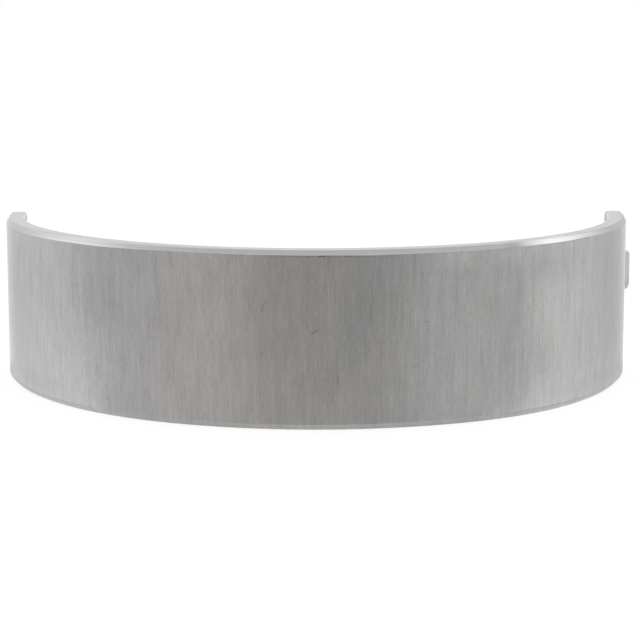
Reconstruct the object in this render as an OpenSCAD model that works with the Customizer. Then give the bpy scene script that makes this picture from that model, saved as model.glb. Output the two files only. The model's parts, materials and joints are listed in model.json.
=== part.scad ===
// One half of a plain engine bearing: a thin steel-backed shell that lines half of a shaft housing.
// The bearing axis is +Z, with the origin on it at the middle of the width, and the shell stands on
// its lower rim. The crown faces -Y, and the two parting faces lie in the plane y = 0, one at each
// end of the X axis. A locating tang is pressed out of the wall at the +X end.

/* [Shell] */
// Outside diameter of the steel back, which is the bore of the housing
outside_d = 68; // [60:0.5:80]
// Thickness of the wall, steel back and bonded lining together
wall_t = 2; // [1.6:0.1:3]
// Width of the shell along the bearing axis
shell_w = 17.4; // [14:0.1:24]

/* [Edges] */
// Chamfer around the outside edge of each rim
outer_chamfer = 0.5; // [0.2:0.05:0.7]
// Chamfer around the bore edge of each rim
inner_chamfer = 0.2; // [0.1:0.05:0.5]
// Chamfer along the two long edges of each parting face
parting_chamfer = 0.15; // [0.05:0.05:0.4]

/* [Locating tang] */
// Width of the tang along the bearing axis
tang_w = 4.1; // [3:0.1:6]
// Distance of the tang's middle above the middle of the shell
tang_rise = 2.3; // [-3:0.1:3]
// Height of the tang above the steel back at the parting face
tang_proud = 0.8; // [0.5:0.05:1.2]
// Length of the tang's full-height land, from the parting face
tang_land = 1.2; // [0.6:0.1:2]
// Length of the ramp that runs the tang out into the steel back
tang_ramp = 1.6; // [0.8:0.1:3]
// Cut across the upper outside corner of the tang, the same both ways
tang_upper_cut = 0.2; // [0.1:0.05:0.4]
// Length along the axis of the slant at the lower outside corner of the tang
tang_slant_l = 0.5; // [0.2:0.05:0.8]
// Depth of that slant below the top of the tang
tang_slant_d = 0.26; // [0.1:0.02:0.4]

/* [Punch pocket] */
// Wall left above and below the pocket that the punch leaves behind the tang
pocket_margin = 0.4; // [0.2:0.05:0.8]
// Depth of the pocket below the bore
pocket_d = 0.8; // [0.4:0.05:1.2]

/* [Hidden] */

// Segments in a full turn
$fn = 180;
// How far a cutting shape runs past the face that it cuts
cut_past = 1;

outside_r = outside_d / 2;
bore_r = outside_r - wall_t;
half_w = shell_w / 2;

tang_l = tang_land + tang_ramp;
tang_top_z = tang_rise + tang_w / 2;
tang_low_z = tang_rise - tang_w / 2;
tang_top_x = outside_r + tang_proud;
// The tang is rooted in the middle of the wall
tang_root_x = outside_r - wall_t / 2;

pocket_w = tang_w - 2 * pocket_margin;
pocket_floor_x = bore_r + pocket_d;

// Where a circle about the axis lies at a given distance below the parting plane
function circle_x(r, drop) = sqrt(r * r - drop * drop);

// Section of the wall, with a chamfer at each of its four edges
module wall_section() {
    polygon([
        [bore_r, inner_chamfer - half_w],
        [bore_r + inner_chamfer, -half_w],
        [outside_r - outer_chamfer, -half_w],
        [outside_r, outer_chamfer - half_w],
        [outside_r, half_w - outer_chamfer],
        [outside_r - outer_chamfer, half_w],
        [bore_r + inner_chamfer, half_w],
        [bore_r, half_w - inner_chamfer]
    ]);
}

// The bent wall: half a turn of the section, on the -Y side
module bent_wall() {
    rotate([0, 0, 180])
        rotate_extrude(angle = 180)
            wall_section();
}

// A flat outline in X and Y, drawn out along the axis between two heights
module along_axis(low_z, high_z) {
    translate([0, 0, low_z])
        linear_extrude(height = high_z - low_z)
            children();
}

// Takes the two long edges off the parting face at the +X end
module parting_edge_cut() {
    along_axis(-half_w - cut_past, half_w + cut_past) {
        polygon([
            [outside_r - parting_chamfer - cut_past, cut_past],
            [outside_r + cut_past, cut_past],
            [outside_r + cut_past, -parting_chamfer - cut_past]
        ]);
        polygon([
            [bore_r + parting_chamfer + cut_past, cut_past],
            [bore_r - cut_past, cut_past],
            [bore_r - cut_past, -parting_chamfer - cut_past]
        ]);
    }
}

// Side view of the tang: a flat land at the parting face, then a ramp down to the steel back
module tang_side() {
    polygon([
        [tang_root_x, 0],
        [tang_top_x, 0],
        [tang_top_x, -tang_land],
        [circle_x(outside_r, tang_l), -tang_l],
        [circle_x(tang_root_x, tang_l), -tang_l]
    ]);
}

// End view of the tang in X and Z: a nipped upper corner and a slanted lower one
module tang_end() {
    polygon([
        [circle_x(tang_root_x, tang_l), tang_low_z],
        [tang_top_x - tang_slant_d, tang_low_z],
        [tang_top_x, tang_low_z + tang_slant_l],
        [tang_top_x, tang_top_z - tang_upper_cut],
        [tang_top_x - tang_upper_cut, tang_top_z],
        [circle_x(tang_root_x, tang_l), tang_top_z]
    ]);
}

// The locating tang, where its side view and its end view meet
module tang() {
    intersection() {
        along_axis(tang_low_z, tang_top_z) tang_side();
        rotate([90, 0, 0])
            linear_extrude(height = tang_l)
                tang_end();
    }
}

// The pocket that the punch leaves in the bore behind the tang
module punch_pocket() {
    along_axis(tang_rise - pocket_w / 2, tang_rise + pocket_w / 2)
        polygon([
            [bore_r - wall_t, cut_past],
            [pocket_floor_x, cut_past],
            [pocket_floor_x, -tang_land],
            [circle_x(bore_r, tang_l), -tang_l],
            [bore_r - wall_t, -tang_l]
        ]);
}

module bearing_shell() {
    color([0.66, 0.655, 0.65])
        difference() {
            union() {
                difference() {
                    bent_wall();
                    for (end = [0, 1])
                        mirror([end, 0, 0]) parting_edge_cut();
                }
                tang();
            }
            punch_pocket();
        }
}

bearing_shell();
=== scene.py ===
"""Looks of a half bearing shell: a fine mesh of the bent strip, its finishes, a studio and a camera."""
import json
import math
from collections import namedtuple

import bpy
import numpy as np
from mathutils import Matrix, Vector


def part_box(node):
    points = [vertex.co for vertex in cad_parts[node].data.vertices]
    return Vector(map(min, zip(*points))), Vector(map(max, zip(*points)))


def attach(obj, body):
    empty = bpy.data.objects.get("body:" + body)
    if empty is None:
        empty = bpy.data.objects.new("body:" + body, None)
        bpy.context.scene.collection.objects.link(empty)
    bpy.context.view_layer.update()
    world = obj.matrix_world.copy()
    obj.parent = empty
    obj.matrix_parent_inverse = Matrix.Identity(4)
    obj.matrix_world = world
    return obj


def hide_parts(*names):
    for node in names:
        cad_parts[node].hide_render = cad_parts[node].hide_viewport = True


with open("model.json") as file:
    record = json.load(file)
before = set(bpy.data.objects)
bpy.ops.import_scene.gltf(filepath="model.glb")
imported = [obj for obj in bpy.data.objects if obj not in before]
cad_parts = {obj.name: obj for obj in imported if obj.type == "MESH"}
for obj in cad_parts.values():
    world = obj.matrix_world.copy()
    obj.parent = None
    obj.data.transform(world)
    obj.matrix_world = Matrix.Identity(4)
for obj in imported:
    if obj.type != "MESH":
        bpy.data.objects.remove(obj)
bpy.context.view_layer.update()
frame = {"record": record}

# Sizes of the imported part, in millimetres. The mesh is made in metres.
MM = 0.001
NODE = "bearing_shell"
MOUNTS = {mount["name"]: mount for mount in frame["record"]["mounts"]}
LOW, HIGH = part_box(NODE)
HALF_W = HIGH.z / MM
OUTSIDE_R = MOUNTS["housing_seat"]["dims"]["r_mm"]
BORE_R = MOUNTS["journal"]["dims"]["r_mm"]
WALL = OUTSIDE_R - BORE_R
HALF_TURN = math.pi * OUTSIDE_R
OUTER_CHAMFER = HALF_W - MOUNTS["housing_seat"]["dims"]["length_mm"] / 2
INNER_CHAMFER = HALF_W - MOUNTS["journal"]["dims"]["length_mm"] / 2
PARTING_CHAMFER = 0.15
LINING = 0.35
LINING_BLUR = 0.02

# The locating tang at the start of the strip, and the punch pocket behind it
TANG_Z = MOUNTS["locating_tang"]["pos_m"][2] / MM
TANG_PROUD = HIGH.x / MM - OUTSIDE_R
TANG_W = 4.1
TANG_LAND = 1.2
TANG_RAMP = 1.6
TANG_L = TANG_LAND + TANG_RAMP
TANG_LOW = TANG_Z - TANG_W / 2
TANG_TOP = TANG_Z + TANG_W / 2
TANG_UPPER_CUT = 0.2
TANG_SLANT_L = 0.5
TANG_SLANT_D = 0.26
TANG_LEAN = 0.06
POCKET_MARGIN = 0.4
POCKET_D = 0.8
POCKET_LOW = TANG_LOW + POCKET_MARGIN
POCKET_TOP = TANG_TOP - POCKET_MARGIN

# The upper outer chamfer, which was edged by hand: how deep it cuts into the rim, and how high it is on the
# back. Both drift from one end of the strip to the other. A wave is a length, a height and a start, and a
# swell is a place along the strip, a reach and a height.
UPPER_DEEP = OUTER_CHAMFER - 0.14
UPPER_DEEP_DRIFT = 0.10
UPPER_DEEP_SWELLS = ((28.5, 5.5, 0.13),)
UPPER_HIGH = OUTER_CHAMFER - 0.01
UPPER_HIGH_DRIFT = 0.19
UPPER_HIGH_SWELLS = ((28.5, 5.5, 0.10), (76.5, 4.0, 0.06))
UPPER_HIGH_WAVES = ((45.0, 0.035, 1.57),)
UPPER_WAVES = ((12.3, 0.010, 2.1), (5.7, 0.006, 4.4))

# The lower outer chamfer is lighter on both sides of the crown: less deep, and a little higher
LOWER_LIGHT = ((30.0, 10.0, 1.0), (77.0, 10.0, 0.5))
LOWER_DEEP_LOSS = 0.28
LOWER_HIGH_GAIN = 0.04

# How the mesh is divided
EDGE_ROUND = 0.09
ROUND_STEPS = (0.0, 0.33, 0.67, 1.0)
STEP_WALL = 0.05
STEP_OFFSETS = (-3 * STEP_WALL, -STEP_WALL, -STEP_WALL / 2, 0.0, STEP_WALL / 2, STEP_WALL, 3 * STEP_WALL)
BEND_OFFSETS = (-STEP_WALL, 0.0, STEP_WALL)
LINE_GAP = 0.7
LEAST_GAP = 0.22
CHAMFER_GAP = 0.25
LINE_DIGITS = 4
END_DROPS = (0.0, 0.02, 0.07, 0.13, 0.16, 0.25)
TANG_STEP = 0.1
TANG_RUN_OUT = 0.5
STRIP_STEP = 0.34
BAKE_LENGTHS = 3
BAKE_GAP = 0.56
BAKE_MARGIN = 1.0
BAKE_END_GAP = 0.4

# Faces of the wall's section in the order in which it is walked, and the finish that each one wears
BACK, TOP_CHAMFER, TOP_RIM, TOP_BEVEL, BORE, LOW_BEVEL, LOW_RIM, LOW_CHAMFER, PARTING = range(9)
SECTION_FACES = 8
CLEAN_EDGES = (BACK, TOP_RIM, LOW_CHAMFER)
FACE_SHARES = {TOP_CHAMFER: (0.5,), TOP_RIM: (0.1, 0.5, 0.9), LOW_RIM: (0.1, 0.5, 0.9), LOW_CHAMFER: (0.5,)}
BAKE_COLUMNS = (((LOW_CHAMFER, BACK, TOP_CHAMFER), (TOP_RIM,)), ((TOP_BEVEL, BORE, LOW_BEVEL), (LOW_RIM,)))
STEEL, TURNED, ALLOY, BROACHED = range(4)
FINISH_OF = np.array([STEEL, TURNED, TURNED, TURNED, ALLOY, TURNED, TURNED, STEEL, BROACHED])


def grey(level, warm=0.0):
    """A plain metal colour, a little warmer or cooler than grey."""
    return (level * (1 + warm), level, level * (1 - warm), 1.0)


# Lines of a finish: width along the strip and height across it in millimetres, seed, and the weights that
# they have in the tone and in the roughness. Their values lie about a middle.
Grain = namedtuple("Grain", "wide tall seed tone rough")
LINE_DETAIL = 2.0
LINE_ROUGHNESS = 0.6
LINE_MIDDLE = 0.5

# Steel back: grain along the axis, nicks from hairlines in worn areas, pits by cell, size and share, and a
# rub at the edges by reach, share and tone
STEEL_TONE = 0.44
STEEL_COOL = -0.02
STEEL_WARM = 0.03
BACK_GRAIN = {
    "fine": Grain(0.22, 1.7, 1.0, 0.28, 0.3),
    "column": Grain(0.45, 8.0, 33.0, 0.26, 0.0),
    "broad": Grain(1.1, 5.0, 5.0, 0.26, 0.0),
    "short": Grain(0.14, 0.6, 9.0, 0.34, 0.0),
    "cloud": Grain(9.0, 14.0, 13.0, 0.20, 0.2),
}
TINT_DRIFT = (4.5, 7.0, 21.0)
HAIR_LINES = (0.10, 6.0, 25.0)
WORN_AREAS = (6.0, 8.0, 29.0)
WORN_RANGE = (0.35, 0.65, 0.2, 1.0)
NICK_DARK = (0.40, 0.28)
NICK_PALE = (0.60, 0.72)
NICK_WEIGHT = 0.24
PITS = (1.9, 0.07, 0.12)
PIT_DARK = (0.1, 0.45)
MARK_CORE = 0.3
BACK_ROUGH = 0.32
BACK_RUB = (0.12, 0.15, 0.60)
BACK_RELIEF = {"fine": 0.6, "short": 0.4}
BACK_RELIEF_D = 0.006

# Faint tints of the back, with painted light among them: the pale patches are painted glow beside and below
# the glints of the upper chamfer, the bright ones painted reflection of the pale table and surround. Each
# gives a colour, centre and reach on the strip, and share
DIM = (0.385, 0.385, 0.387, 1.0)
# Pale patches are painted glow: glare beside and below the glints of the upper chamfer
PALE = (0.520, 0.516, 0.510, 1.0)
# Bright patches are painted reflection of the pale table and surround, at the lower sides and the tang end
# of the back
BRIGHT = (0.620, 0.620, 0.620, 1.0)
BROWN = (0.452, 0.430, 0.403, 1.0)
ROSE = (0.446, 0.434, 0.440, 1.0)
BLUE = (0.395, 0.403, 0.413, 1.0)
BACK_TINTS_AND_PAINTED_LIGHT = (
    (ROSE, (80.0, 0.0), (26.0, 16.0), 0.6),
    (BROWN, (58.0, 1.0), (18.0, 22.0), 0.85),
    (BLUE, (15.0, 2.0), (13.0, 15.0), 0.9),
    (BRIGHT, (79.0, -5.0), (6.3, 8.0), 0.55),
    (PALE, (31.0, -7.0), (7.0, 6.0), 0.35),
    (PALE, (29.3, 1.5), (5.0, 7.5), 0.75),
    (PALE, (30.5, 8.2), (8.0, 2.6), 1.0),
    (PALE, (39.7, 8.2), (3.5, 2.6), 0.8),
    (PALE, (94.0, 8.0), (8.0, 1.8), 0.45),
    (DIM, (25.0, 6.3), (5.0, 4.0), 0.65),
    (DIM, (47.8, 5.0), (3.5, 7.0), 0.5),
    (DIM, (85.0, 4.5), (6.5, 8.0), 0.55),
    (DIM, (17.0, -6.8), (13.0, 1.4), 0.7),
    (DIM, (89.0, -6.8), (9.0, 1.4), 0.6),
    (DIM, (50.3, 1.0), (3.0, 8.0), 0.6),
    (DIM, (58.0, 1.0), (3.5, 7.0), 0.5),
    (BRIGHT, (21.0, -8.7), (20.0, 0.8), 0.8),
    (BRIGHT, (86.0, -8.7), (17.0, 0.8), 0.8),
    (BRIGHT, (0.5, 2.3), (4.5, 4.5), 0.7),
)

# Old marks on the back, and painted shade lines under small nicks in the upper edge (those near a height of
# 8.1 mm, just below the chamfer): from one place to another on the strip, half width, and how dark
BACK_MARKS = (
    ((59.0, 3.2), (59.0, 2.8), 0.10, 0.21),
    ((58.9, 3.4), (58.7, 3.65), 0.08, 0.18),
    ((58.7, 3.65), (58.0, 3.75), 0.08, 0.18),
    ((54.9, 2.0), (54.6, 1.0), 0.08, 0.15),
    ((54.6, 1.0), (54.2, 0.8), 0.09, 0.18),
    ((54.2, 0.8), (53.7, 1.05), 0.10, 0.33),
    ((54.6, -0.45), (54.2, -0.4), 0.08, 0.17),
    ((54.2, -0.4), (54.2, -0.1), 0.08, 0.13),
    ((59.1, -1.05), (59.1, -1.4), 0.09, 0.18),
    ((51.8, -3.4), (51.8, -4.1), 0.08, 0.15),
    ((52.7, -5.1), (52.3, -5.1), 0.08, 0.17),
    ((56.2, 0.7), (55.7, 0.75), 0.07, 0.13),
    ((44.4, -2.75), (44.0, -2.55), 0.09, 0.21),
    ((43.4, 1.6), (42.8, 1.6), 0.09, 0.18),
    ((51.9, 7.2), (51.6, 7.3), 0.07, 0.12),
    ((24.1, 5.9), (24.0, 4.2), 0.07, 0.06),
    ((22.1, 5.1), (22.0, 4.0), 0.07, 0.05),
    ((88.6, 4.5), (88.6, 4.0), 0.11, 0.07),
    ((53.7, 8.1), (53.1, 8.15), 0.07, 0.45),
    ((56.9, 8.1), (54.2, 8.1), 0.04, 0.18),
    ((51.2, 8.1), (50.5, 8.15), 0.06, 0.21),
    ((83.1, 8.0), (83.2, 7.7), 0.10, 0.15),
    ((22.4, 8.15), (21.8, 8.15), 0.08, 0.18),
    ((34.9, 8.1), (34.9, 7.8), 0.08, 0.17),
    ((74.6, 2.65), (74.4, 2.35), 0.08, 0.15),
    ((65.3, -7.85), (64.7, -7.8), 0.06, 0.21),
)

# Turned rims and chamfers, with the share and tone of the bare alloy by the bore, and painted light on the
# upper chamfer and the rim, given as the tints of the back are: darker lengths are painted shade that dulls
# the lamp's glint where it fades, paler ones a painted glint and a painted highlight along the left chamfer
EDGE_TONE = 0.60
EDGE_GRAIN = {
    "fine": Grain(7.0, 0.035, 2.0, 0.25, 0.4),
    "broad": Grain(16.0, 0.14, 6.0, 0.25, 0.3),
}
EDGE_ALLOY = (0.3, 0.70)
EDGE_RUB = (0.10, 0.7, 0.72)
EDGE_ROUGH = 0.25
EDGE_RELIEF_D = 0.005
CHAMFER_DEPTH = WALL - OUTER_CHAMFER
CHAMFER_BLUR = 0.05
# Painted shade and painted highlights on the upper chamfer, shaping the lamp's glint
CHAMFER_PAINTED_LIGHT = (
    (grey(0.44), (15.5, HALF_W), (8.0, 3.0), 1.0),
    (grey(0.48), (8.0, HALF_W), (8.0, 3.0), 1.0),
    (grey(0.46), (33.0, HALF_W), (2.6, 3.0), 1.0),
    (grey(0.65), (28.2, HALF_W), (6.0, 3.0), 1.0),
    (grey(0.74), (79.0, HALF_W), (8.0, 3.0), 0.5),
    (grey(0.90), (78.5, 8.2), (10.0, 0.25), 0.5),
)
# Painted highlight on the rim's flat beside the chamfer glint
RIM_PAINTED_HIGHLIGHT = ((grey(0.80), (26.5, 8.9), (6.0, 1.2), 0.8),)

# Bearing alloy of the bore
BORE_TONE = 0.48
BORE_GRAIN = {
    "rings": Grain(40.0, 0.07, 3.0, 0.16, 0.3),
    "bands": Grain(30.0, 1.2, 7.0, 0.14, 0.0),
    "cloud": Grain(12.0, 9.0, 17.0, 0.16, 0.3),
}
BORE_SHEEN = 0.85
BORE_RUB = (0.15, 0.4, 0.74)
BORE_ROUGH = 0.46
BORE_RELIEF_D = 0.004

# Broached parting faces
PARTING_TONE = 0.55
PARTING_GRAIN = {"fine": Grain(1.5, 0.05, 4.0, 0.25, 0.4)}
PARTING_ALLOY = (0.6, 0.66)
PARTING_ROUGH = 0.34
PARTING_RELIEF_D = 0.005

# How a rubbed edge is broken up: its noise, and the range of the noise with the share of the reach there
RUB_NOISE = (1.4, 0.5, 31.0)
RUB_BREAKS = (0.3, 0.7, 0.4, 1.3)
RUB_CORE = 0.2

# Studio: lengths in metres, levels of the floor, and levels of the cards, each as a turn to the front and
# the light there
WHITE = (1.0, 1.0, 1.0, 1.0)
FLOOR_HALF = 4.0
FLOOR_WHITE = 0.30
FLOOR_LIFT = 0.78
FLOOR_SHEEN = 0.62
GAP_CENTRE = (0.0, -0.017, 0.0)
GAP_FRONT = (0.06, -1.0, 0.0)
GAP_FLATNESS = 2.0
GAP_FROM = 0.78
GAP_FULL = 0.97
TENT_RADIUS = 0.6
TENT_SEGMENTS = 64
TENT_RINGS = 32
TENT_CENTRE = (0.0, 0.0, 0.0)
TENT_FRONT = (0.088, -1.0, 0.0)
TENT_STOPS = ((-0.97, 0.90), (-0.84, 0.77), (-0.48, 1.10), (-0.22, 1.06), (0.05, 0.70))
TENT_GAP = 0.0
RING_INNER = 0.0342
RING_OUTER = 0.59
RING_SIDES = 64
RING_LIFT = 0.0005
RING_CENTRE = (0.0, -0.030, 0.0)
RING_FRONT = (-0.06, -1.0, 0.0)
RING_STOPS = ((-0.985, 1.00), (-0.92, 0.89), (-0.78, 0.80), (-0.27, 1.13), (0.0, 0.765))
RING_GAP = 0.84

# Wedges of the table behind the shell's ends: where they start, and their sides as slopes from a little
# ahead of the ends
WEDGE_START = (-0.005, 0.005)
WEDGE_LEAD = 0.007
WEDGE_NEAREST = 0.001
WEDGE_INNER = (-0.12, -0.02)
WEDGE_OUTER = (0.76, 0.0)
WEDGE_LIFT = 1.08

# Lamp, high on the right
LAMP_DIRECTION = (0.757, 0.29, 0.58)
LAMP_DISTANCE = 0.5
LAMP_SIZE = 0.12
LAMP_POWER = 0.035

# Camera, fitted to the outline of the shell: lengths in millimetres, angles in degrees
CAMERA_SENSOR = 36.0
CAMERA_LENS = 113.39
CAMERA_NEAREST = 10.0
CAMERA_DISTANCE = 224.96
CAMERA_RISE = 8.432
CAMERA_TURN = 0.733
CAMERA_PAN = 0.105
CAMERA_DIP = 9.318


def ripple(along, waves):
    """A sum of slow waves along the strip."""
    return sum(high * np.sin(2 * math.pi * along / length + start) for length, high, start in waves)


def swell(along, bumps):
    """A sum of soft bumps along the strip."""
    return sum(high * np.exp(-((along - centre) / reach) ** 2) for centre, reach, high in bumps)


def upper_chamfer(along):
    """Depth and height of the upper outer chamfer at each place along the strip."""
    drift = along / HALF_TURN - 0.5
    wave = ripple(along, UPPER_WAVES)
    deep = UPPER_DEEP + UPPER_DEEP_DRIFT * drift + wave + swell(along, UPPER_DEEP_SWELLS)
    high = UPPER_HIGH + UPPER_HIGH_DRIFT * drift + wave + swell(along, UPPER_HIGH_SWELLS)
    return deep, high + ripple(along, UPPER_HIGH_WAVES)


def lower_chamfer(along):
    """Depth and height of the lower outer chamfer at each place along the strip."""
    light = swell(along, LOWER_LIGHT)
    return OUTER_CHAMFER - LOWER_DEEP_LOSS * light, OUTER_CHAMFER + LOWER_HIGH_GAIN * light


def section_corners(along):
    """The eight corners of the wall's section at each place along the strip, as radius and height."""
    same = np.ones_like(along)
    deep, high = upper_chamfer(along)
    low_deep, low_high = lower_chamfer(along)
    corners = [
        (OUTSIDE_R * same, low_high - HALF_W),
        (OUTSIDE_R * same, HALF_W - high),
        (OUTSIDE_R - deep, HALF_W * same),
        ((BORE_R + INNER_CHAMFER) * same, HALF_W * same),
        (BORE_R * same, (HALF_W - INNER_CHAMFER) * same),
        (BORE_R * same, (INNER_CHAMFER - HALF_W) * same),
        ((BORE_R + INNER_CHAMFER) * same, -HALF_W * same),
        (OUTSIDE_R - low_deep, -HALF_W * same),
    ]
    return [np.stack(corner, axis=1) for corner in corners]


def wall_lines():
    """Heights of the lines along the back and the bore, close together at the tang and the pocket."""
    steps = (TANG_LOW, TANG_TOP, POCKET_LOW, POCKET_TOP)
    bends = (TANG_LOW + TANG_SLANT_L, TANG_TOP - TANG_UPPER_CUT)
    fine = {round(step + offset, LINE_DIGITS) for step in steps for offset in STEP_OFFSETS}
    fine |= {round(bend + offset, LINE_DIGITS) for bend in bends for offset in BEND_OFFSETS}
    reach = HALF_W - OUTER_CHAMFER - CHAMFER_GAP
    coarse = np.linspace(-reach, reach, round(2 * reach / LINE_GAP) + 1)
    kept = {z for z in coarse if min(abs(z - f) for f in fine) > LEAST_GAP}
    return np.array(sorted(fine | kept))


def stations():
    """Places along the strip, from the parting face with the tang to the other one."""
    near = np.array(END_DROPS)
    tang = np.arange(near[-1] + TANG_STEP, TANG_L + TANG_RUN_OUT, TANG_STEP)
    far = HALF_TURN - near[::-1]
    strip = np.linspace(tang[-1], far[0], round((far[0] - tang[-1]) / STRIP_STEP) + 1)[1:-1]
    return np.concatenate([near, tang, strip, far])


def softer_least(a, b, blur):
    """The lesser of two heights, with the corner where they cross rounded off."""
    mix = np.clip(0.5 + 0.5 * (b - a) / blur, 0.0, 1.0)
    return b + (a - b) * mix - blur * mix * (1.0 - mix)


def pressed_profile(along, round_r, flat_x):
    """Height over a round wall of the land and slope that the punch makes, along the strip."""
    turn = np.minimum(along, 2 * TANG_L) / OUTSIDE_R
    land = flat_x / np.cos(turn) - round_r
    start = np.array([flat_x, -TANG_LAND])
    run = np.array([math.sqrt(round_r ** 2 - TANG_L ** 2), -TANG_L]) - start
    across = np.cos(turn) * run[1] + np.sin(turn) * run[0]
    slope = (start[0] * run[1] - start[1] * run[0]) / across - round_r
    return np.clip(np.where(flat_x * np.tan(turn) <= TANG_LAND, land, slope), 0.0, None)


def step_up(z, edge):
    """Rises from 0 to 1 across a steep side of the tang or the pocket."""
    t = np.clip((z - edge) / (2 * STEP_WALL) + 0.5, 0.0, 1.0)
    return t * t * (3.0 - 2.0 * t)


def tang_lift(along, z):
    """How far the tang lifts the back."""
    side = pressed_profile(along, OUTSIDE_R, OUTSIDE_R + TANG_PROUD)
    slant = TANG_PROUD - TANG_SLANT_D * (1.0 - np.clip((z - TANG_LOW) / TANG_SLANT_L, 0.0, 1.0))
    nip = TANG_PROUD - np.clip(z - (TANG_TOP - TANG_UPPER_CUT), 0.0, TANG_UPPER_CUT)
    nip = nip - TANG_LEAN * np.clip((z - TANG_LOW) / TANG_W, 0.0, 1.0)
    end = np.minimum(slant, nip) * step_up(z, TANG_LOW) * (1.0 - step_up(z, TANG_TOP))
    return np.clip(softer_least(side, end, STEP_WALL), 0.0, None)


def pocket_sink(along, z):
    """How far the punch sank the bore behind the tang."""
    side = pressed_profile(along, BORE_R, BORE_R + POCKET_D)
    end = POCKET_D * step_up(z, POCKET_LOW) * (1.0 - step_up(z, POCKET_TOP))
    return np.clip(softer_least(side, end, STEP_WALL), 0.0, None)


def unit(vectors):
    """Vectors of length 1."""
    return vectors / np.linalg.norm(vectors, axis=1, keepdims=True)


def edge_round(face, before, corner, after):
    """The few lines that round the edge between one face of the section and the next."""
    enter = corner - unit(corner - before) * EDGE_ROUND
    leave = corner + unit(after - corner) * EDGE_ROUND
    found = []
    for t in ROUND_STEPS:
        place = (1 - t) ** 2 * enter + 2 * t * (1 - t) * corner + t * t * leave
        found.append((face if t < 0.5 else (face + 1) % SECTION_FACES, False, place))
    return found


def section_lines(along):
    """Every line of the section in order: the face that starts at it, whether it crosses the wall from back
    to bore at the parting faces, and its radius and height at each place along the strip."""
    corners = section_corners(along)
    heights = wall_lines()
    lines = []
    for face in range(SECTION_FACES):
        start, end, after = (corners[(face + n) % SECTION_FACES] for n in range(3))
        if face in (BACK, BORE):
            for z in heights if face == BACK else heights[::-1]:
                lines.append((face, True, np.column_stack([start[:, 0], np.full_like(along, z)])))
        for share in FACE_SHARES.get(face, ()):
            lines.append((face, False, start + (end - start) * share))
        lines += edge_round(face, start, end, after)
    return lines


def walked(radius, height):
    """Distance walked round the section to each of its lines, and the whole way round."""
    step = np.hypot(np.roll(radius, -1, axis=1) - radius, np.roll(height, -1, axis=1) - height)
    gone = np.cumsum(step, axis=1)
    return gone - step, gone[:, -1:]


def edge_distance(along, faces, radius, height):
    """Distance from each point to the nearest rubbed edge. Those of the rims and chamfers stay clean."""
    around, whole = walked(radius, height)
    starts = around[:, (faces != np.roll(faces, 1)) & ~np.isin(faces, CLEAN_EDGES)]
    gaps = np.abs(around[:, :, None] - starts[:, None, :])
    gaps = np.minimum(gaps, whole[:, :, None] - gaps)
    drop = np.minimum(along, HALF_TURN - along)[:, None]
    return np.minimum(gaps.min(axis=2), drop)


def tang_edge_distance(along, z, lift):
    """Distance from each point of the tang to the nearest of its own edges; far away everywhere else."""
    crest = np.abs(along - TANG_LAND)
    sides = np.minimum(np.abs(z - TANG_LOW), np.abs(z - TANG_TOP))
    return np.where(lift > STEP_WALL, np.minimum(crest, sides), WALL)


def parting_inset(along):
    """How far the long edges of a parting face are taken in, at each place along the strip."""
    return np.clip(PARTING_CHAMFER - np.minimum(along, HALF_TURN - along), 0.0, None)[:, None]


def strip_quads(places, count):
    """Four-sided faces of the strip between neighbouring places and lines."""
    j, i = np.meshgrid(np.arange(places - 1), np.arange(count), indexing="ij")
    k = (i + 1) % count
    quads = np.stack([j * count + i, j * count + k, (j + 1) * count + k, (j + 1) * count + i], axis=-1)
    return quads.reshape(-1, 4)


def parting_polygons(row, faces, crossing):
    """The flat faces that close one end of the strip: rungs from back to bore, and a piece at each rim."""
    at = row * len(faces) + np.arange(len(faces))
    back = np.flatnonzero(crossing & (faces == BACK))
    bore = np.flatnonzero(crossing & (faces == BORE))[::-1]
    rungs = [[at[back[n]], at[back[n + 1]], at[bore[n + 1]], at[bore[n]]] for n in range(len(back) - 1)]
    rungs.append(list(at[back[-1]:bore[-1] + 1]))
    rungs.append(list(at[bore[0]:]) + [at[back[0]]])
    return [polygon[::-1] for polygon in rungs] if row == 0 else rungs


def area_normals(points, polygons):
    """Normals at the points. Large faces count for more, so that flats stay flat beside rounded edges."""
    normals = np.zeros_like(points)
    for polygon in polygons:
        corners = points[polygon] - points[polygon[0]]
        normals[polygon] += np.cross(corners, np.roll(corners, -1, axis=0)).sum(axis=0)
    return unit(normals)


def strip_places(faces, radius, height):
    """How far round the section from the middle of the back each point is, and the whole way round."""
    around, whole = walked(radius, height)
    around = around + height[:, :1]
    past = np.arange(len(faces)) > np.flatnonzero(faces == LOW_RIM)[-1]
    return np.where(past, around - whole, around), whole


def quad_places(along, around, whole):
    """The strip's flat coordinates at the four corners of each of its quads."""
    count = around.shape[1]
    nearby = np.roll(around, -1, axis=1)
    nearby = around + np.mod(nearby - around + whole / 2, whole) - whole / 2
    here, there = along[:-1, None] * np.ones(count), along[1:, None] * np.ones(count)
    u = np.stack([here, here, there, there], axis=-1)
    v = np.stack([around[:-1], nearby[:-1], nearby[1:], around[1:]], axis=-1)
    return np.stack([u, v], axis=-1).reshape(-1, 4, 2)


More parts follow.
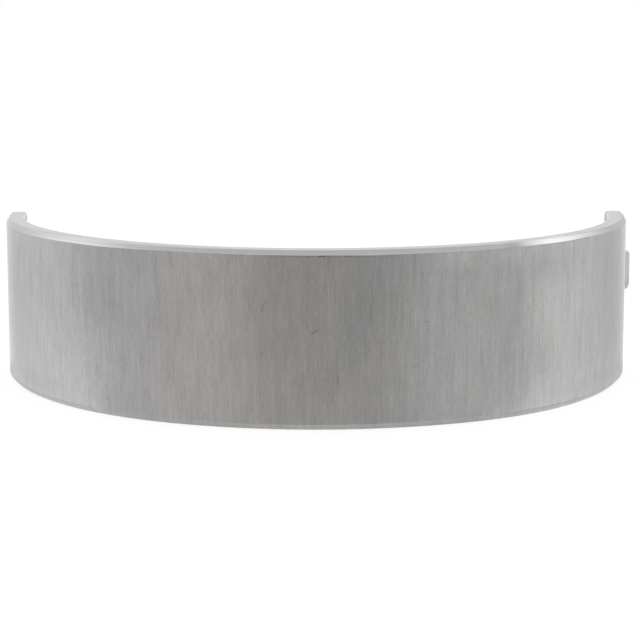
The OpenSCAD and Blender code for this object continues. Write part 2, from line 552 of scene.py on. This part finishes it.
def bake_places(flat, face_of):
    """A second map with nothing on top of anything else: each side of the strip in a few stacked lengths.
    Returns the map and the height that it fills."""
    length = HALF_TURN / BAKE_LENGTHS
    part = np.minimum(flat[:, :, 0].mean(axis=1) // length, BAKE_LENGTHS - 1)
    place = flat.copy()
    place[:, :, 0] -= (part * length)[:, None]
    for column, groups in enumerate(BAKE_COLUMNS):
        base = BAKE_GAP
        for group in groups:
            picked = np.isin(face_of, group)
            v = flat[picked, :, 1]
            tall = v.max() - v.min() + BAKE_GAP
            place[picked, :, 0] += BAKE_GAP + column * (length + 2 * BAKE_GAP)
            place[picked, :, 1] += (base - v.min()) + (part[picked] * tall)[:, None]
            base += BAKE_LENGTHS * tall
    return place, base


def end_places(points, ends, base):
    """Both maps of the parting faces: depth in the wall and height, and a free part of the second map."""
    flat, baked = [], []
    for polygon in ends:
        corners = points[polygon]
        deep = np.hypot(corners[:, 0], corners[:, 1]) - BORE_R
        high = corners[:, 2]
        far = corners[:, 0].mean() < 0
        aside = (HALF_W + BAKE_MARGIN) * (3 if far else 1)
        flat.append(np.stack([deep, high], axis=1))
        baked.append(np.stack([high + aside, deep + base + BAKE_END_GAP], axis=1))
    return np.concatenate(flat), np.concatenate(baked)


def set_map(mesh, name, strip, ends):
    """Adds a map of flat coordinates to the mesh, first for the strip and then for its two ends."""
    layer = mesh.uv_layers.new(name=name, do_init=False)
    layer.data.foreach_set("uv", np.concatenate([strip, ends]).astype(np.float32).ravel())


def make_shell():
    """The whole shell as one closed mesh, with its flat coordinates and what the finishes need to know."""
    along = stations()
    lines = section_lines(along)
    faces = np.array([face for face, _, _ in lines])
    crossing = np.array([cross for _, cross, _ in lines])
    radius = np.stack([place[:, 0] for _, _, place in lines], axis=1)
    height = np.stack([place[:, 1] for _, _, place in lines], axis=1)
    depth = np.clip(radius - BORE_R, 0.0, WALL)
    around, whole = strip_places(faces, radius, height)
    lift = tang_lift(along[:, None], height) * (faces == BACK)
    sink = pocket_sink(along[:, None], height) * (faces == BORE)
    edge = edge_distance(along, faces, radius, height)
    edge = np.minimum(edge, tang_edge_distance(along[:, None], height, lift))
    inset = parting_inset(along)
    radius = np.clip(radius, BORE_R + inset, OUTSIDE_R - inset) + lift + sink
    turn = along[:, None] / OUTSIDE_R
    points = np.stack([radius * np.cos(turn), -radius * np.sin(turn), height], axis=-1).reshape(-1, 3)

    quads = strip_quads(len(along), len(faces))
    ends = [polygon for row in (0, len(along) - 1) for polygon in parting_polygons(row, faces, crossing)]
    polygons = quads.tolist() + ends
    face_of = np.tile(faces, len(along) - 1)
    mesh = bpy.data.meshes.new("half_shell")
    mesh.from_pydata((points * MM).tolist(), [], polygons)
    finish = np.concatenate([FINISH_OF[face_of], np.full(len(ends), FINISH_OF[PARTING])])
    mesh.polygons.foreach_set("material_index", finish.astype(np.int32))
    mesh.shade_smooth()
    mesh.normals_split_custom_set_from_vertices(area_normals(points, polygons).tolist())

    flat = quad_places(along, around, whole)
    baked, base = bake_places(flat, face_of)
    end_flat, end_baked = end_places(points, ends, base)
    size = max(baked[:, :, 0].max(), base + WALL + 2 * BAKE_MARGIN)
    set_map(mesh, "strip", flat.reshape(-1, 2), end_flat)
    set_map(mesh, "OFBake", baked.reshape(-1, 2) / size, end_baked / size)
    mesh.uv_layers["strip"].active = True
    mesh.uv_layers["strip"].active_render = True
    for name, values in (("edge", edge), ("depth", depth)):
        spread = mesh.attributes.new(name, "FLOAT", "POINT")
        spread.data.foreach_set("value", values.ravel().astype(np.float32))
    shell = bpy.data.objects.new("half_shell", mesh)
    bpy.context.scene.collection.objects.link(shell)
    return shell


def add_node(tree, kind, settings=(), inputs=()):
    """Adds a node, with its settings and inputs. An input is a number, a colour or a socket to join."""
    node = tree.nodes.new("ShaderNode" + kind)
    for name, value in dict(settings).items():
        setattr(node, name, value)
    for name, value in dict(inputs).items():
        if isinstance(value, bpy.types.NodeSocket):
            tree.links.new(value, node.inputs[name])
        else:
            node.inputs[name].default_value = value
    return node


def calc(tree, operation, a, b=0.0, clamp=False):
    """One step of arithmetic between numbers or sockets."""
    return add_node(tree, "Math", {"operation": operation, "use_clamp": clamp}, {0: a, 1: b}).outputs[0]


def total(tree, *terms):
    """One, plus a weighted sum of patterns, each less its middle value."""
    found = 1.0
    for weight, socket in terms:
        swing = calc(tree, "SUBTRACT", socket, LINE_MIDDLE)
        found = calc(tree, "ADD", found, calc(tree, "MULTIPLY", swing, weight))
    return found


def ramp(tree, value, low, high, start=0.0, end=1.0):
    """A smooth change from start to end as the value goes from low to high."""
    places = {"Value": value, 1: low, 2: high, 3: start, 4: end}
    return add_node(tree, "MapRange", {"interpolation_type": "SMOOTHSTEP"}, places).outputs[0]


def vector_calc(tree, operation, a, b=(0.0, 0.0, 0.0)):
    """One step of arithmetic between vectors, as a node."""
    return add_node(tree, "VectorMath", {"operation": operation}, {0: a, 1: b})


def blend(tree, share, a, b):
    """A colour between two colours."""
    return add_node(tree, "Mix", {"data_type": "RGBA"}, {0: share, 6: a, 7: b}).outputs[2]


def scaled(tree, colour, tone):
    """A colour or a vector times a number."""
    first = colour if isinstance(colour, bpy.types.NodeSocket) else colour[:3]
    return add_node(tree, "VectorMath", {"operation": "SCALE"}, {0: first, "Scale": tone}).outputs[0]


def new_group(name, inputs, output):
    """An empty node group with named inputs and one output. Returns its tree, inputs and output node."""
    tree = bpy.data.node_groups.new(name, "ShaderNodeTree")
    for label, kind in inputs:
        tree.interface.new_socket(name=label, in_out="INPUT", socket_type="NodeSocket" + kind)
    tree.interface.new_socket(name=output, in_out="OUTPUT", socket_type="NodeSocketFloat")
    return tree, tree.nodes.new("NodeGroupInput").outputs, tree.nodes.new("NodeGroupOutput")


def use_group(tree, group, inputs):
    """Places a node group in a tree and returns its output."""
    return add_node(tree, "Group", {"node_tree": group}, inputs).outputs[0]


def drawn_lines_group():
    """Streaks of noise whose cells are Wide along the strip and Tall across it, in millimetres."""
    inputs = (("Strip", "Vector"), ("Wide", "Float"), ("Tall", "Float"), ("Seed", "Float"))
    tree, given, out = new_group("drawn_lines", inputs, "Line")
    split = add_node(tree, "SeparateXYZ", (), {0: given["Strip"]}).outputs
    u = calc(tree, "DIVIDE", split["X"], given["Wide"])
    v = calc(tree, "DIVIDE", split["Y"], given["Tall"])
    cell = add_node(tree, "CombineXYZ", (), {"X": u, "Y": v, "Z": given["Seed"]}).outputs[0]
    settings = {"Vector": cell, "Scale": 1.0, "Detail": LINE_DETAIL, "Roughness": LINE_ROUGHNESS}
    noise = add_node(tree, "TexNoise", (), settings)
    tree.links.new(noise.outputs[0], out.inputs[0])
    return tree


def soft_patch_group():
    """A soft round patch about a place on the strip."""
    inputs = (("Strip", "Vector"), ("Centre", "Vector"), ("Reach", "Vector"))
    tree, given, out = new_group("soft_patch", inputs, "Patch")
    off = vector_calc(tree, "SUBTRACT", given["Strip"], given["Centre"]).outputs[0]
    share = vector_calc(tree, "DIVIDE", off, given["Reach"]).outputs[0]
    far = vector_calc(tree, "LENGTH", share).outputs["Value"]
    tree.links.new(ramp(tree, far, 1.0, 0.0), out.inputs[0])
    return tree


def line_mark_group():
    """A straight line between two places on the strip: a scored mark, or a painted shade line."""
    inputs = (("Strip", "Vector"), ("From", "Vector"), ("To", "Vector"), ("Width", "Float"))
    tree, given, out = new_group("scratch", inputs, "Mark")
    here = vector_calc(tree, "SUBTRACT", given["Strip"], given["From"]).outputs[0]
    run = vector_calc(tree, "SUBTRACT", given["To"], given["From"]).outputs[0]
    onto = vector_calc(tree, "DOT_PRODUCT", here, run).outputs["Value"]
    whole = vector_calc(tree, "DOT_PRODUCT", run, run).outputs["Value"]
    foot = scaled(tree, run, calc(tree, "DIVIDE", onto, whole, clamp=True))
    far = vector_calc(tree, "LENGTH", vector_calc(tree, "SUBTRACT", here, foot).outputs[0]).outputs["Value"]
    tree.links.new(ramp(tree, calc(tree, "DIVIDE", far, given["Width"]), 1.0, MARK_CORE), out.inputs[0])
    return tree


def flecks_group():
    """Small dark pits, one to a cell of the given size, of which only a share is left."""
    inputs = (("Strip", "Vector"), ("Cell", "Float"), ("Size", "Float"), ("Share", "Float"))
    tree, given, out = new_group("flecks", inputs, "Fleck")
    place = scaled(tree, given["Strip"], calc(tree, "DIVIDE", 1.0, given["Cell"]))
    cells = add_node(tree, "TexVoronoi", (), {"Vector": place, "Scale": 1.0})
    chance = add_node(tree, "SeparateColor", (), {0: cells.outputs["Color"]}).outputs
    near = calc(tree, "MULTIPLY", cells.outputs["Distance"], given["Cell"])
    pit = ramp(tree, calc(tree, "DIVIDE", near, given["Size"]), 1.0, MARK_CORE)
    kept = calc(tree, "LESS_THAN", chance["Red"], given["Share"])
    dark = calc(tree, "MULTIPLY", kept, ramp(tree, chance["Green"], 0.0, 1.0, *PIT_DARK))
    tree.links.new(calc(tree, "MULTIPLY", pit, dark), out.inputs[0])
    return tree


def rubbed_edge_group(lines):
    """Where an edge is rubbed bright: within a reach of the edge, broken up by noise."""
    inputs = (("Strip", "Vector"), ("Edge", "Float"), ("Reach", "Float"))
    tree, given, out = new_group("rubbed_edge", inputs, "Rub")
    wide, tall, seed = RUB_NOISE
    noise = use_group(tree, lines, {"Strip": given["Strip"], "Wide": wide, "Tall": tall, "Seed": seed})
    reach = calc(tree, "MULTIPLY", given["Reach"], ramp(tree, noise, *RUB_BREAKS))
    tree.links.new(ramp(tree, calc(tree, "DIVIDE", given["Edge"], reach), 1.0, RUB_CORE), out.inputs[0])
    return tree


class Finish:
    """A material for one side of the strip, with the coordinates that its patterns use."""

    def __init__(self, name, groups):
        self.material = bpy.data.materials.new(name)
        self.material.use_nodes = True
        self.tree = self.material.node_tree
        self.shader = self.tree.nodes["Principled BSDF"]
        self.groups = groups
        self.strip = add_node(self.tree, "UVMap", {"uv_map": "strip"}).outputs[0]

    def spread(self, name):
        """A value that the mesh holds at its points."""
        return add_node(self.tree, "Attribute", {"attribute_name": name}).outputs["Fac"]

    def place(self, group, **inputs):
        """Places one of the shared patterns on the strip."""
        return use_group(self.tree, self.groups[group], {"Strip": self.strip, **inputs})

    def lines(self, wide, tall, seed):
        """Drawn lines of one size."""
        return self.place("lines", Wide=wide, Tall=tall, Seed=seed)

    def grain(self, grains):
        """Drawn lines of several sizes by name, and the terms that they add to tone and roughness."""
        lines = {name: self.lines(kind.wide, kind.tall, kind.seed) for name, kind in grains.items()}
        tone = [(kind.tone, lines[name]) for name, kind in grains.items()]
        rough = [(kind.rough, lines[name]) for name, kind in grains.items() if kind.rough]
        return lines, tone, rough

    def scratch(self, start, end, width):
        """A straight scored mark, or a painted shade line under a nicked edge."""
        return self.place("scratch", From=(*start, 0.0), To=(*end, 0.0), Width=width)

    def pits(self, cell, size, share):
        """Scattered dark pits."""
        return self.place("flecks", Cell=cell, Size=size, Share=share)

    def tinted(self, colour, tints, where=None):
        """A colour with soft patches of other colours, over the whole strip or where a mask says: tints of
        the steel, or painted light and shade.
        """
        for tint, centre, reach, share in tints:
            patch = self.place("patch", Centre=(*centre, 0.0), Reach=(*reach, 1.0))
            weight = calc(self.tree, "MULTIPLY", patch, share)
            if where is not None:
                weight = calc(self.tree, "MULTIPLY", weight, where)
            colour = blend(self.tree, weight, colour, tint)
        return colour

    def rubbed(self, colour, reach, share, tone):
        """A colour with its edges rubbed bright."""
        rub = self.place("rub", Edge=self.spread("edge"), Reach=reach)
        return blend(self.tree, calc(self.tree, "MULTIPLY", rub, share), colour, grey(tone))

    def lined(self, colour, share, tone):
        """A colour with the bearing alloy as a paler band along the bore."""
        alloy = ramp(self.tree, self.spread("depth"), LINING + LINING_BLUR, LINING - LINING_BLUR)
        return blend(self.tree, calc(self.tree, "MULTIPLY", alloy, share), colour, grey(tone))

    def close(self, colour, roughness, height, depth):
        """Joins the patterns to the shader. The height is a share of the depth, which is in millimetres."""
        self.shader.inputs["Metallic"].default_value = 1.0
        self.tree.links.new(colour, self.shader.inputs["Base Color"])
        self.tree.links.new(roughness, self.shader.inputs["Roughness"])
        bump = add_node(self.tree, "Bump", (), {"Strength": 1.0, "Distance": depth * MM, "Height": height})
        self.tree.links.new(bump.outputs[0], self.shader.inputs["Normal"])
        return self.material


def steel_back(groups):
    """The ground steel back: fine grain along the axis, faint clouds of tint, a few old scored lines,
    painted shade lines under nicks in the upper edge, and patches of painted glow and painted reflection.
    """
    finish = Finish("steel_back", groups)
    tree = finish.tree
    lines, tone, rough = finish.grain(BACK_GRAIN)
    hair = finish.lines(*HAIR_LINES)
    worn = ramp(tree, finish.lines(*WORN_AREAS), *WORN_RANGE)
    nicks = calc(tree, "SUBTRACT", ramp(tree, hair, *NICK_DARK), ramp(tree, hair, *NICK_PALE))
    nicks = calc(tree, "ADD", LINE_MIDDLE, calc(tree, "MULTIPLY", nicks, worn))
    mark = finish.pits(*PITS)
    # Scored marks, and painted shade lines under the nicks of the upper edge
    for start, end, width, dark in BACK_MARKS:
        mark = calc(tree, "MAXIMUM", mark, calc(tree, "MULTIPLY", finish.scratch(start, end, width), dark))
    clean = calc(tree, "SUBTRACT", 1.0, mark)
    drift = finish.lines(*TINT_DRIFT)
    colour = blend(tree, drift, grey(STEEL_TONE, STEEL_COOL), grey(STEEL_TONE, STEEL_WARM))
    # Tints of the steel, with patches of painted glow and painted reflection
    colour = finish.tinted(colour, BACK_TINTS_AND_PAINTED_LIGHT)
    tone = total(tree, *tone, (NICK_WEIGHT, nicks))
    colour = scaled(tree, colour, calc(tree, "MULTIPLY", tone, clean))
    colour = finish.rubbed(colour, *BACK_RUB)
    rough = calc(tree, "MULTIPLY", BACK_ROUGH, total(tree, *rough))
    relief = total(tree, *((share, lines[name]) for name, share in BACK_RELIEF.items()))
    return finish.close(colour, rough, calc(tree, "SUBTRACT", relief, mark), BACK_RELIEF_D)


def turned_edge(groups):
    """The rims and chamfers: bright cut steel with lines along the strip, bare alloy by the bore, and
    painted shade, a painted glint and painted highlights on the upper chamfer and the rim.
    """
    finish = Finish("turned_edge", groups)
    tree = finish.tree
    lines, tone, rough = finish.grain(EDGE_GRAIN)
    colour = scaled(tree, grey(EDGE_TONE), total(tree, *tone))
    colour = finish.lined(colour, *EDGE_ALLOY)
    colour = finish.rubbed(colour, *EDGE_RUB)
    depth = finish.spread("depth")
    chamfer = ramp(tree, depth, CHAMFER_DEPTH - CHAMFER_BLUR, CHAMFER_DEPTH + CHAMFER_BLUR)
    # Painted shade and a painted glint on the upper chamfer
    colour = finish.tinted(colour, CHAMFER_PAINTED_LIGHT, chamfer)
    # Painted highlight on the rim's flat
    colour = finish.tinted(colour, RIM_PAINTED_HIGHLIGHT, calc(tree, "SUBTRACT", 1.0, chamfer))
    rough = calc(tree, "MULTIPLY", EDGE_ROUGH, total(tree, *rough))
    return finish.close(colour, rough, lines["fine"], EDGE_RELIEF_D)


def lining_bore(groups):
    """The bearing alloy of the bore: dull pale grey with the fine rings of its boring tool."""
    finish = Finish("lining_bore", groups)
    tree = finish.tree
    lines, tone, rough = finish.grain(BORE_GRAIN)
    colour = scaled(tree, grey(BORE_TONE), total(tree, *tone))
    colour = finish.rubbed(colour, *BORE_RUB)
    rough = calc(tree, "MULTIPLY", BORE_ROUGH, total(tree, *rough))
    finish.shader.inputs["Specular Tint"].default_value = grey(BORE_SHEEN)
    return finish.close(colour, rough, lines["rings"], BORE_RELIEF_D)


def parting_cut(groups):
    """The parting faces: broached across, with the alloy as a paler edge along the bore."""
    finish = Finish("parting_cut", groups)
    tree = finish.tree
    lines, tone, rough = finish.grain(PARTING_GRAIN)
    colour = scaled(tree, grey(PARTING_TONE), total(tree, *tone))
    colour = finish.lined(colour, *PARTING_ALLOY)
    rough = calc(tree, "MULTIPLY", PARTING_ROUGH, total(tree, *rough))
    return finish.close(colour, rough, lines["fine"], PARTING_RELIEF_D)


def dress_shell():
    """Makes the shell and puts it in the place of the plain solid."""
    shell = make_shell()
    lines = drawn_lines_group()
    groups = {"lines": lines, "patch": soft_patch_group(), "scratch": line_mark_group(),
              "rub": rubbed_edge_group(lines), "flecks": flecks_group()}
    for finish in (steel_back, turned_edge, lining_bore, parting_cut):
        shell.data.materials.append(finish(groups))
    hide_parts(NODE)
    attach(shell, "root")


def white_world():
    """Even white light from all round, which the camera and the metal see as plain white."""
    world = bpy.data.worlds.new("white_studio")
    bpy.context.scene.world = world
    world.use_nodes = True
    background = world.node_tree.nodes["Background"]
    background.inputs["Color"].default_value = WHITE
    background.inputs["Strength"].default_value = 1.0


def empty_material(name):
    """A material with no nodes yet. Returns it and its node tree."""
    material = bpy.data.materials.new(name)
    material.use_nodes = True
    material.node_tree.nodes.clear()
    return material, material.node_tree


def pale_floor():
    """A white table top under the lower rim, which keeps the shell's shadow."""
    mesh = bpy.data.meshes.new("pale_floor")
    sides = ((-1, -1), (1, -1), (1, 1), (-1, 1))
    mesh.from_pydata([(x * FLOOR_HALF, y * FLOOR_HALF, LOW.z) for x, y in sides], [], [(0, 1, 2, 3)])
    floor = bpy.data.objects.new("pale_floor", mesh)
    bpy.context.scene.collection.objects.link(floor)
    material, tree = empty_material("pale_floor")
    path = add_node(tree, "LightPath").outputs
    shown = calc(tree, "MULTIPLY", path["Is Camera Ray"], FLOOR_LIFT)
    sheen = calc(tree, "MAXIMUM", path["Is Glossy Ray"], path["Is Transmission Ray"])
    seen = calc(tree, "ADD", shown, calc(tree, "MULTIPLY", sheen, FLOOR_SHEEN))
    matt = add_node(tree, "BsdfDiffuse", (), {"Color": grey(FLOOR_WHITE)})
    lift = add_node(tree, "Emission", (), {"Strength": seen})
    both = add_node(tree, "AddShader", (), {0: matt.outputs[0], 1: lift.outputs[0]})
    add_node(tree, "OutputMaterial", (), {"Surface": both.outputs[0]})
    mesh.materials.append(material)


def hang_card(card, material, level):
    """Gives a stage card its level of light, and lets only polished surfaces see it."""
    tree = material.node_tree
    glow = add_node(tree, "Emission", (), {"Strength": level})
    add_node(tree, "OutputMaterial", (), {"Surface": glow.outputs[0]})
    card.data.materials.append(material)
    card.visible_camera = False
    card.visible_diffuse = False
    card.visible_shadow = False
    card.visible_transmission = False


def ahead(tree, place, front):
    """How far the direction of a place turns to the front: 1 straight ahead, -1 straight behind."""
    towards = vector_calc(tree, "NORMALIZE", place).outputs[0]
    return vector_calc(tree, "DOT_PRODUCT", towards, tuple(Vector(front).normalized())).outputs["Value"]


def card_level(tree, centre, front, stops, gap):
    """Light of a card by its turn to the front, from straight behind the shell round to the room ahead of
    it. The low gap that the camera looks through has a share of it."""
    place = add_node(tree, "TexCoord").outputs["Object"]
    turn = ahead(tree, vector_calc(tree, "SUBTRACT", place, centre).outputs[0], front)
    level = stops[0][1]
    for (start, _), (end, there) in zip(stops, stops[1:]):
        level = ramp(tree, turn, start, end, level, there)
    near = vector_calc(tree, "SUBTRACT", place, GAP_CENTRE).outputs[0]
    flat = vector_calc(tree, "MULTIPLY", near, (1.0, 1.0, GAP_FLATNESS)).outputs[0]
    opening = ramp(tree, ahead(tree, flat, GAP_FRONT), GAP_FROM, GAP_FULL, 1.0, gap)
    return calc(tree, "MULTIPLY", level, opening)


def graded_tent():
    """A tent round the shell: a pale sweep behind and beside it, a dimmer room in front, a dark gap."""
    bpy.ops.mesh.primitive_uv_sphere_add(segments=TENT_SEGMENTS, ring_count=TENT_RINGS, radius=TENT_RADIUS,
                                         location=(0.0, 0.0, LOW.z))
    tent = bpy.context.object
    tent.name = "graded_tent"
    material, tree = empty_material("graded_card")
    hang_card(tent, material, card_level(tree, TENT_CENTRE, TENT_FRONT, TENT_STOPS, TENT_GAP))


def end_wedges(tree):
    """Lift of the two brighter wedges behind the shell's ends, which the edges of the back mirror."""
    spot = add_node(tree, "TexCoord").outputs["Object"]
    place = add_node(tree, "SeparateXYZ", (), {"Vector": spot}).outputs
    aside = calc(tree, "SUBTRACT", calc(tree, "ABSOLUTE", place["X"]), OUTSIDE_R * MM)
    run = calc(tree, "MAXIMUM", calc(tree, "ADD", place["Y"], WEDGE_LEAD), WEDGE_NEAREST)
    slope = calc(tree, "DIVIDE", aside, run)
    wedge = calc(tree, "MULTIPLY", ramp(tree, slope, *WEDGE_INNER), ramp(tree, slope, *WEDGE_OUTER))
    wedge = calc(tree, "MULTIPLY", wedge, ramp(tree, place["Y"], *WEDGE_START))
    return calc(tree, "ADD", 1.0, calc(tree, "MULTIPLY", wedge, WEDGE_LIFT))


def table_surround():
    """A ring of card on the table, graded as the tent is, with a brighter wedge behind each end."""
    turns = [2 * math.pi * n / RING_SIDES for n in range(RING_SIDES)]
    rings = [(r, turn) for r in (RING_INNER, RING_OUTER) for turn in turns]
    points = [(r * math.cos(turn), r * math.sin(turn), RING_LIFT) for r, turn in rings]
    sides = [(n, (n + 1) % RING_SIDES) for n in range(RING_SIDES)]
    mesh = bpy.data.meshes.new("table_surround")
    mesh.from_pydata(points, [], [(a, b, b + RING_SIDES, a + RING_SIDES) for a, b in sides])
    ring = bpy.data.objects.new("table_surround", mesh)
    ring.location.z = LOW.z
    bpy.context.scene.collection.objects.link(ring)
    material, tree = empty_material("table_card")
    level = card_level(tree, RING_CENTRE, RING_FRONT, RING_STOPS, RING_GAP)
    hang_card(ring, material, calc(tree, "MULTIPLY", level, end_wedges(tree)))


def soft_lamp():
    """A square soft lamp that looks at the shell from high on the right."""
    data = bpy.data.lights.new("high_right_lamp", "AREA")
    data.size = LAMP_SIZE
    data.energy = LAMP_POWER
    lamp = bpy.data.objects.new("high_right_lamp", data)
    towards = Vector(LAMP_DIRECTION).normalized()
    lamp.location = towards * LAMP_DISTANCE
    lamp.rotation_euler = (-towards).to_track_quat("-Z", "Y").to_euler()
    bpy.context.scene.collection.objects.link(lamp)


def heading(turn, rise):
    """The direction at a turn from +Y towards +X and a rise from the level, both in degrees."""
    turn, rise = math.radians(turn), math.radians(rise)
    return Vector((math.sin(turn) * math.cos(rise), math.cos(turn) * math.cos(rise), math.sin(rise)))


def look_on():
    """The camera: a little above the shell, in front of its crown and turned by under a degree."""
    data = bpy.data.cameras.new("camera")
    data.sensor_width = CAMERA_SENSOR
    data.lens = CAMERA_LENS
    data.clip_start = CAMERA_NEAREST * MM
    camera = bpy.data.objects.new("camera", data)
    camera.location = heading(CAMERA_TURN, -CAMERA_RISE) * -CAMERA_DISTANCE * MM
    forward = heading(CAMERA_TURN + CAMERA_PAN, -CAMERA_DIP)
    camera.rotation_euler = forward.to_track_quat("-Z", "Y").to_euler()
    bpy.context.scene.collection.objects.link(camera)
    bpy.context.scene.camera = camera


dress_shell()
white_world()
pale_floor()
graded_tent()
table_surround()
soft_lamp()
look_on()
bpy.context.scene.view_settings.view_transform = "Standard"
